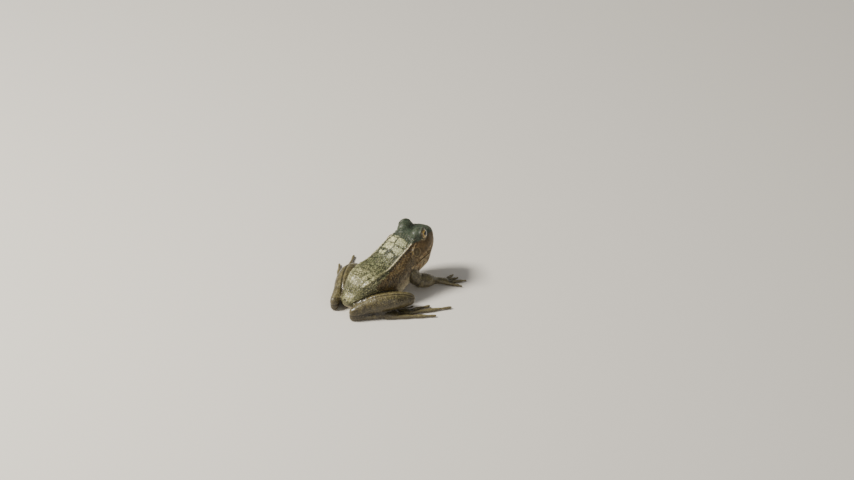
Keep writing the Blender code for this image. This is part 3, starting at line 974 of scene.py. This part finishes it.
def back_colour(p):
    """Grey-green with dark olive blotches, pale plates over the nape and a teal crown darkened by
    painted shadow.
    """
    saddle = p.vary(p.speckle, 0.48, 0.64, (0.04, 0.05, 0.021), (0.22, 0.24, 0.11))
    blotch = p.band(p.noise(2.6, 3.0, 0.6, p.wavy), 0.52, 0.58)
    dark = p.times(p.calc("MAXIMUM", blotch, p.band(p.spots, 0.5, 0.58)), 0.85)
    hips = p.over(
        p.vary(p.speckle, 0.5, 0.62, (0.048, 0.05, 0.022), (0.17, 0.165, 0.075)),
        (p.band(p.mottle, 0.5, 0.58, 0, 0.8), (0.02, 0.022, 0.01)),
    )
    # The crown's teal hue is its own colour; its darkness is painted shadow, with a ragged edge.
    crown = p.over(
        p.vary(p.patches, 0.3, 0.7, (0.018, 0.03, 0.018), (0.044, 0.062, 0.04)),
        (p.band(p.noise(1.4, 3.0, 0.6, p.ragged), 0.56, 0.62), (0.014, 0.016, 0.008)),
    )
    crown_edge = p.add(p.mask("crown"), p.band(p.mottle, 0.3, 0.7, -0.4, 0.4))
    teal_crown_and_shadow = p.times(p.band(crown_edge, 0.3, 0.7), p.band(p.mask("crown"), 0.02, 0.2))
    return p.over(
        p.vary(p.patches, 0.35, 0.65, (0.085, 0.098, 0.038), (0.22, 0.22, 0.105)),
        (p.band(p.speckle, 0.47, 0.6), (0.46, 0.44, 0.25)),
        (p.mask("saddle", 0.75), saddle),
        (dark, (0.02, 0.026, 0.01)),
        (p.band(p.mask("nape"), 0.15, 0.6), nape_colour(p)),
        (p.times(p.mask("rump"), p.band(p.mottle, 0.62, 0.4, 0.2, 0.65)), (0.34, 0.31, 0.12)),
        (p.mask("hips", 0.85), hips),
        (teal_crown_and_shadow, crown),
    )


def side_colour(p):
    """Warm brown with dark and olive specks, plainer on the head."""
    cheek = p.over(
        p.vary(p.mottle, 0.3, 0.7, (0.05, 0.03, 0.01), (0.135, 0.088, 0.036)),
        (p.times(p.granules, 0.3), (0.19, 0.135, 0.06)),
    )
    return p.over(
        p.vary(p.patches, 0.35, 0.65, (0.055, 0.032, 0.01), (0.105, 0.066, 0.024)),
        (p.band(p.mottle, 0.5, 0.58, 0, 0.8), (0.014, 0.008, 0.004)),
        (p.band(p.speckle, 0.56, 0.64, 0, 0.7), (0.17, 0.13, 0.042)),
        (p.times(p.granules, 0.6), (0.22, 0.165, 0.07)),
        (p.mask("head"), cheek),
    )


def limb_colour(p):
    """Olive brown, marbled, with dusky bars; painted shade darkens all but its upward faces, and
    painted shadow darkens the ankle and the rear of the foot.
    """
    wave = p.calc("SINE", p.add(p.times(p.mask("bars"), math.tau), p.times(p.patches, 5.0)))
    limb = p.over(
        p.vary(p.patches, 0.35, 0.65, (0.038, 0.03, 0.011), (0.084, 0.066, 0.026)),
        (p.band(p.speckle, 0.52, 0.64), (0.21, 0.175, 0.075)),
        (p.band(p.mottle, 0.5, 0.58, 0, 0.75), (0.017, 0.013, 0.006)),
        (p.times(p.granules, 0.6), (0.23, 0.195, 0.09)),
        (p.times(p.band(wave, 0.35, 0.85), p.mask("barred"), 0.55), (0.02, 0.015, 0.007)),
    )
    # A darker copy of the limb's colour as painted shade, and the lighter colour that the upward
    # faces keep, as if lit.
    limb_in_painted_shade = p.mix(0.48, limb, (0.02, 0.014, 0.006))
    olive = p.mix(p.band(p.speckle, 0.46, 0.6, 0, 0.3), limb, (0.125, 0.13, 0.045))
    return p.over(
        limb_in_painted_shade,
        (p.mask("upward", 0.9), olive),
        # Painted shadow under the shank.
        (p.mask("heel", 0.7), (0.018, 0.013, 0.007)),
    )


def under_colour(p):
    """A pale belly and throat, clouded; a mottled seat and brownish soles."""
    seat = p.vary(p.noise(1.1, 3.0, 0.6), 0.42, 0.58, (0.34, 0.27, 0.14), (0.055, 0.044, 0.02))
    sole = p.vary(p.mottle, 0.35, 0.65, (0.2, 0.155, 0.09), (0.36, 0.29, 0.18))
    return p.over(
        p.vary(p.patches, 0.4, 0.7, (0.56, 0.49, 0.32), (0.42, 0.35, 0.21)),
        (p.band(p.mottle, 0.54, 0.64, 0, 0.45), (0.16, 0.12, 0.07)),
        (p.mask("seat", 0.85), seat),
        (p.mask("limb", 0.8), sole),
    )


def chin_colour(p):
    """Upright bars of dark brown and rust on a pale ground."""
    upright_bars = p.node("Mapping", {0: p.ragged, 3: (1, 1, 0.35)}).outputs[0]
    dark = p.band(p.noise(1.5, 3.0, 0.55, upright_bars), 0.49, 0.56)
    rust = p.band(p.noise(2.1, 2.0, 0.5, upright_bars), 0.55, 0.62, 0, 0.8)
    return p.over(
        p.vary(p.speckle, 0.35, 0.65, (0.15, 0.105, 0.045), (0.36, 0.28, 0.16)),
        (dark, (0.045, 0.024, 0.01)),
        (rust, (0.2, 0.085, 0.022)),
    )


def skin_material():
    p = Paint("frog_skin")
    p.ragged = p.warped(1.6, 0.9)
    p.wavy = p.warped(3.0, 1.6)
    p.patches = p.noise(4.5, 2.0)
    p.mottle = p.noise(1.7, 4.0, 0.6)
    p.speckle = p.noise(0.75, 4.0, 0.65)
    p.granules = p.band(p.noise(1.15, 5.0, 0.7), 0.5, 0.66)
    p.spots = p.noise(1.2, 3.0, 0.6, p.ragged)
    grain = p.noise(0.3, 3.0)

    edge = p.add(p.mask("side"), p.band(p.noise(2.4, 4.0, 0.65), 0.3, 0.7, -0.45, 0.45))
    flanked = p.times(p.band(edge, 0.35, 0.65), p.band(p.mask("side"), 0.02, 0.12))
    rust = p.band(p.noise(2.2, 2.0, 0.5, p.wavy), 0.5, 0.58)
    dark_bar = p.band(p.noise(1.9, 2.0, 0.5), 0.52, 0.58)
    lip = p.vary(p.noise(1.3, 4.0, 0.65), 0.36, 0.66, (0.13, 0.082, 0.032), (0.48, 0.36, 0.19))
    lipped = p.calc("MINIMUM", p.times(p.mask("lip"), p.band(p.mottle, 0.7, 0.4)), 1.0)
    cream = p.vary(p.speckle, 0.35, 0.6, (0.25, 0.21, 0.11), (0.66, 0.6, 0.42))
    thread = p.add(p.mask("fold"), p.band(p.mottle, 0.3, 0.7, 0.12, -0.2))
    under = under_colour(p)
    colour = p.over(
        back_colour(p),
        (flanked, side_colour(p)),
        (p.mask("limb"), limb_colour(p)),
        (p.mask("jaw", 0.85), under),
        (p.mask("chin", 0.9), chin_colour(p)),
        (p.mask("under"), under),
        (p.times(p.mask("mouth"), rust, 0.8), (0.24, 0.11, 0.03)),
        (p.times(p.mask("mouth"), dark_bar, 0.8), (0.035, 0.022, 0.01)),
        (lipped, lip),
    )
    # Pits are painted darker, as shade.
    pit_shade = p.mix(0.8, colour, (0.015, 0.011, 0.006))
    colour = p.mix(p.mask("cavity_shade", 0.65), colour, pit_shade)
    # Tips of warts and ridges are painted lighter, as highlights.
    tip = p.mix(0.35, colour, (0.5, 0.42, 0.22))
    colour = p.over(
        colour,
        (p.mask("tip", 0.38), tip),
        # The fold's pale line: partly its own colour, partly a painted highlight.
        (p.times(p.band(thread, 0.4, 0.8), p.mask("fold_pale"), 0.95), cream),
        # The lids' rims, painted dark as shade.
        (p.mask("lid", 0.6), (0.035, 0.032, 0.017)),
        (p.mask("haw"), (0.3, 0.22, 0.09)),
        # Creases and holes, painted dark as shade.
        (p.mask("crease_shade", 0.85), (0.018, 0.012, 0.007)),
    )
    dusty = p.mix(0.5, colour, (0.012, 0.01, 0.005))
    colour = p.mix(p.band(grain, 0.3, 0.7, 0, 0.25), colour, dusty)

    pores = p.bump(p.cells(0.42, feature="SMOOTH_F1"), 0.09, 0.7)
    wetness = p.calc("SUBTRACT", p.band(p.mask("limb"), 0, 1, 0.12, 0.3), p.mask("crown", 0.09))
    dullness = p.add(p.band(p.mottle, 0.3, 0.7, 0.3, 0.5), p.mask("crown", 0.12))
    p.set(Base_Color=colour, Roughness=dullness, Normal=p.bump(grain, 0.05, 0.6, pores))
    p.set(IOR=1.4, Coat_Weight=wetness, Coat_Roughness=0.12)
    return p.material


def eye_material():
    """A gold iris, darker towards its ends, round a black pupil that lies level."""
    p = Paint("frog_eye")
    across, upward, _ = p.node("SeparateXYZ", {0: p.where}).outputs

    def length(first, second):
        return p.calc("SQRT", p.add(p.times(first, first), p.times(second, second)))

    oval = length(p.calc("DIVIDE", across, PUPIL_WIDE * MM),
                  p.calc("DIVIDE", upward, PUPIL_TALL * MM))
    far = length(across, upward)
    turn = p.calc("ARCTAN2", upward, across)
    spokes = {0: p.times(turn, 0.9 * MM), 1: p.times(far, 0.35), 2: 0.0}
    fibres = p.noise(0.09, 4.0, 0.7, p.node("CombineXYZ", spokes).outputs[0])
    dusk = p.band(p.calc("ABSOLUTE", upward), 1.5 * MM, 0.2 * MM, 0, 0.75)
    iris = p.over(
        p.vary(fibres, 0.35, 0.65, (0.09, 0.055, 0.012), (0.42, 0.29, 0.07)),
        (dusk, (0.05, 0.025, 0.008)),
        (p.band(p.noise(0.45, 4.0, 0.7), 0.52, 0.62), (0.03, 0.017, 0.007)),
        (p.band(oval, 1.26, 1.12), (0.52, 0.37, 0.1)),
        (p.band(oval, 1.06, 0.98), (0.004, 0.004, 0.004)),
        (p.band(far, IRIS * 0.92 * MM, IRIS * MM), (0.012, 0.009, 0.006)),
    )
    p.set(Base_Color=iris, Roughness=0.22, Normal=p.bump(fibres, 0.02, 0.4))
    p.set(IOR=1.38, Coat_Weight=1.0, Coat_Roughness=0.03)
    return p.material


def eardrum_material():
    """Thin stretched skin: olive brown, dark at its edge, with a paler knob."""
    p = Paint("frog_eardrum")
    far = p.vector("LENGTH", {0: p.where}, "Value")
    mottle = p.noise(0.9, 3.0, 0.6)
    ring = p.times(p.band(far, 0.5 * MM, 1.3 * MM), p.band(far, 2.0 * MM, 1.4 * MM, 0, 0.5))
    skin = p.over(
        p.vary(mottle, 0.35, 0.65, (0.085, 0.062, 0.026), (0.155, 0.118, 0.055)),
        (ring, (0.055, 0.036, 0.015)),
        (p.band(far, 0.75 * MM, 0.35 * MM, 0, 0.8), (0.2, 0.15, 0.075)),
        (p.band(far, 1.7 * MM, 2.4 * MM), (0.05, 0.034, 0.017)),
    )
    p.set(Base_Color=skin, Roughness=p.band(mottle, 0.3, 0.7, 0.28, 0.42))
    p.set(Normal=p.bump(p.noise(0.25, 3.0), 0.03, 0.6))
    p.set(IOR=1.4, Coat_Weight=0.3, Coat_Roughness=0.15)
    return p.material


# ---- the eyes

PUPIL_WIDE, PUPIL_TALL, IRIS = 2.0, 1.4, 3.25
CORNEA_RISE, CORNEA_SPREAD = 0.035, 0.62  # share of the radius, and radians
EYE_RINGS, EYE_SPOKES = 40, 64


def make_eye(eye):
    """A ball that bulges in front, turned to look along the eye's aim."""
    off_axis = math.pi * np.arange(1, EYE_RINGS)[:, None] / EYE_RINGS
    turn = math.tau * np.arange(EYE_SPOKES) / EYE_SPOKES
    radius = EYE_RADIUS * MM * (1 + CORNEA_RISE * np.exp(-((off_axis / CORNEA_SPREAD) ** 2)))
    level = radius * np.sin(off_axis)
    ahead = radius * np.cos(off_axis) + 0 * turn
    rows = np.stack([level * np.cos(turn), level * np.sin(turn), ahead], axis=-1)
    front = (0, 0, EYE_RADIUS * MM * (1 + CORNEA_RISE))
    mesh = shell(eye.side + "_eyeball", front, rows, rear=(0, 0, -EYE_RADIUS * MM))
    axes = np.stack([np.cross(eye.up, eye.aim), eye.up, eye.aim], axis=1)
    at = Matrix.Translation(eye.centre * MM) @ Matrix(axes.tolist()).to_4x4()
    add_piece(mesh, eye_material(), [eye.side + "_eye"], at)


# ---- the skin

FINE_AHEAD, FINE_UP, FINE_RIM = 44.5, 16, 1.3  # the head's mesh is finer, and finest at the lids


def make_skin():
    mesh = bounded(flesh())
    set_points(mesh, Ring(mesh).faired(points_of(mesh)))
    softened(mesh)
    ahead, _, up = plan(points_of(mesh))
    refined(mesh, (ahead > FINE_AHEAD) & (up > FINE_UP))
    eyes = [Eye(side) for side in SIDES]
    rims = np.zeros(len(mesh.vertices), bool)
    for eye in eyes:
        radius, outside, _ = eye.seen(points_of(mesh))
        rims |= (np.abs(outside) < FINE_RIM) & (radius < EYE_RADIUS + 2)
    refined(mesh, rims)

    skin = Surface(mesh)
    drums = [Eardrum(skin, side) for side in SIDES]
    for drum in drums:
        drum.make(skin)
    masks = relief(skin, drums)
    lids = [shape_lids(skin, eye) for eye in eyes]
    masks["lid"], masks["haw"] = (sum(pair) for pair in zip(*lids))
    for eye in eyes:
        make_eye(eye)
    skin.refresh()
    mark_regions(skin, masks)
    skin.lift(wart_relief(skin, masks, drums))
    skin.points[:, 2] = np.maximum(skin.points[:, 2], 0)
    skin.refresh()
    mark_bends(skin, masks)

    set_points(mesh, skin.points * MM)
    for name, values in masks.items():
        layer = mesh.attributes.new(name, "FLOAT", "POINT")
        layer.data.foreach_set("value", values.astype(np.float32))
    add_piece(mesh, skin_material(), FLESH)


make_skin()


# ---- stage

CAMERA_VIEW = (226, 32, 2.93)  # azimuth, elevation and distance
LENS = 200
FRAME_CENTRE = (0.0242, 0.0309)  # from the frog's origin, right and up in the picture's plane
FLOOR_REACH, FLOOR_DROP = 6, 0.0001
FLOOR_COLOUR, FLOOR_ROUGHNESS = (0.62, 0.6, 0.56), 0.9
WORLD_COLOUR, WORLD_STRENGTH = (1, 0.985, 0.96, 1), 0.28
# Lamps: azimuth, elevation and distance, then size, power, colour.
LAMPS = {
    "key": ((143, 50, 1.2), 0.3, 29, (1, 0.95, 0.85)),
    "fill": ((250, 30, 1.4), 1.0, 3.4, (1, 0.98, 0.95)),
}


def looking(azimuth, elevation, distance, right=0, up=0):
    """The place and turn of a camera or a lamp that looks at the frog, or beside it."""
    turn = Matrix.Rotation(math.radians(azimuth), 4, "Z")
    tilt = Matrix.Rotation(math.radians(90 - elevation), 4, "X")
    return turn @ tilt @ Matrix.Translation((right, up, distance))


def stage():
    scene = bpy.context.scene
    data = bpy.data.cameras.new("camera")
    data.lens = LENS
    scene.camera = add("camera", data, looking(*CAMERA_VIEW, *FRAME_CENTRE))

    mesh = bpy.data.meshes.new("floor")
    size = FLOOR_REACH
    corners = [(-size, -size, 0), (size, -size, 0), (size, size, 0), (-size, size, 0)]
    mesh.from_pydata(corners, [], [(0, 1, 2, 3)])
    paint = Paint("floor")
    paint.set(Base_Color=FLOOR_COLOUR, Roughness=FLOOR_ROUGHNESS)
    mesh.materials.append(paint.material)
    floor = add("floor", mesh, Matrix.Translation((0, 0, -FLOOR_DROP)))

    for name, (view, size, power, colour) in LAMPS.items():
        data = bpy.data.lights.new(name, "AREA")
        data.size = size
        data.energy = power
        data.color = colour
        add(name, data, looking(*view))

    world = bpy.data.worlds.new("world")
    world.use_nodes = True
    background = world.node_tree.nodes["Background"]
    background.inputs["Color"].default_value = WORLD_COLOUR
    background.inputs["Strength"].default_value = WORLD_STRENGTH
    scene.world = world


stage()
